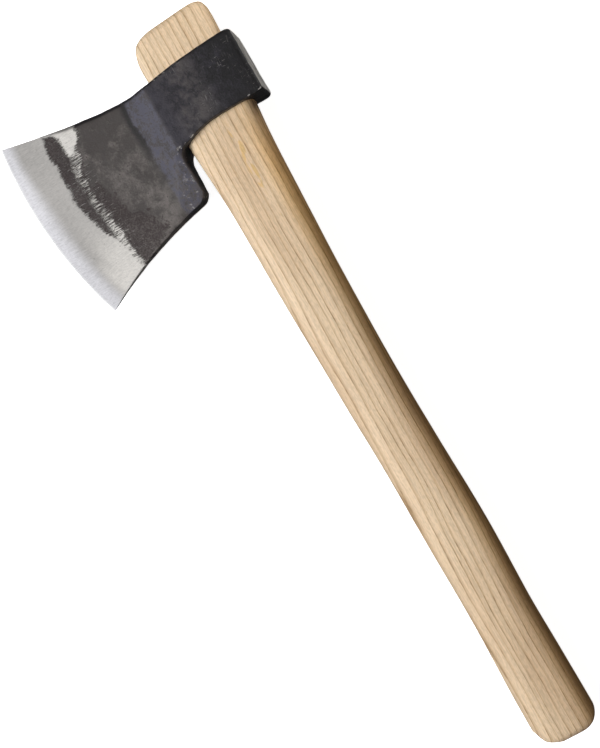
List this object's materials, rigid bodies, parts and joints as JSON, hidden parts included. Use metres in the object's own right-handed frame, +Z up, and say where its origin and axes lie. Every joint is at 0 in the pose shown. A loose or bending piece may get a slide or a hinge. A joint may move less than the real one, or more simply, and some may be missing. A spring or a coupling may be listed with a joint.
{
  "type": "hatchet",
  "caption": "Small forged hatchet: a bearded wedge head with a flat poll and ground bit on a straight ash handle that drops through the eye and jams by its taper.",
  "frame": {"origin": "centre of the eye on the lower cheek, the plane the head rests on when the hatchet lies on its side", "axes": "+X from the eye down the handle to the butt, +Y from the cutting edge to the poll, +Z up from the lower cheek to the upper cheek"},
  "size_m": [0.3965, 0.1308, 0.03],
  "materials": {
    "forged_steel": "black forge scale on the eye and cheeks, bright fine-ground bit",
    "ash_wood": "pale oiled ash, straight grain"
  },
  "bodies": {
    "root": {"axe_head": "forged_steel", "handle": "ash_wood"}
  },
  "joints": []
}
